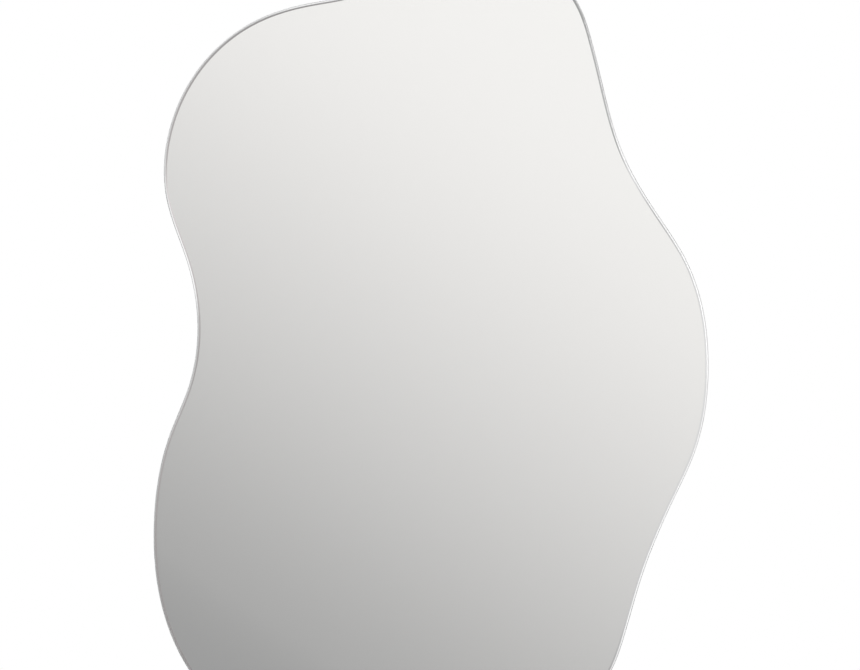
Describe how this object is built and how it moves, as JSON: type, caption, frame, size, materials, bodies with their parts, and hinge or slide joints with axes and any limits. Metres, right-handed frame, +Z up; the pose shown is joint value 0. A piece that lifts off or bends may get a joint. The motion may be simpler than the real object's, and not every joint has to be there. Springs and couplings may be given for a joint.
{
  "type": "irregular shaped wall mirror",
  "caption": "Frameless wall mirror of free wavy outline with a rounded polished edge, on a backing board that hangs from swinging D-rings",
  "frame": {"origin": "centre of the glass outline, on the wall plane that the rubber bumpers touch", "axes": "+X to the right and +Z up as seen from the front, +Y into the wall; the glass faces -Y"},
  "size_m": [0.55, 0.0253, 0.8],
  "materials": {
    "glass": "clear 5 mm float glass, flat front, rounded and polished edge",
    "silver": "bright silver mirror coating under grey back paint",
    "film": "satin grey safety film with a fine scrim",
    "foam_tape": "matt white foam mounting tape",
    "board": "dark painted fibreboard, matt",
    "zinc_steel": "bright zinc plate",
    "rubber": "matt dark rubber"
  },
  "bodies": {
    "mirror": {"mirror_glass": "glass", "silver_coating": "silver", "safety_film": "film", "mounting_tape_1": "foam_tape", "mounting_tape_2": "foam_tape", "mounting_tape_3": "foam_tape", "mounting_tape_4": "foam_tape", "mounting_tape_5": "foam_tape", "mounting_tape_6": "foam_tape", "backing_board": "board", "hanger_strap_left": "zinc_steel", "hanger_strap_right": "zinc_steel", "strap_screw_left_upper": "zinc_steel", "strap_screw_left_lower": "zinc_steel", "strap_screw_right_upper": "zinc_steel", "strap_screw_right_lower": "zinc_steel", "wall_bumper_upper_left": "rubber", "wall_bumper_upper_right": "rubber", "wall_bumper_lower_left": "rubber", "wall_bumper_lower_right": "rubber"},
    "ring_left": {"hanger_ring_left": "zinc_steel"},
    "ring_right": {"hanger_ring_right": "zinc_steel"}
  },
  "joints": [
    {"name": "ring_left_swing", "type": "hinge", "parent": "mirror", "child": "ring_left", "pos_m": [-0.14804, -0.004, 0.205], "axis": [1, 0, 0], "range_deg": [0, 180]},
    {"name": "ring_right_swing", "type": "hinge", "parent": "mirror", "child": "ring_right", "pos_m": [0.12245, -0.004, 0.205], "axis": [1, 0, 0], "range_deg": [0, 180]}
  ]
}
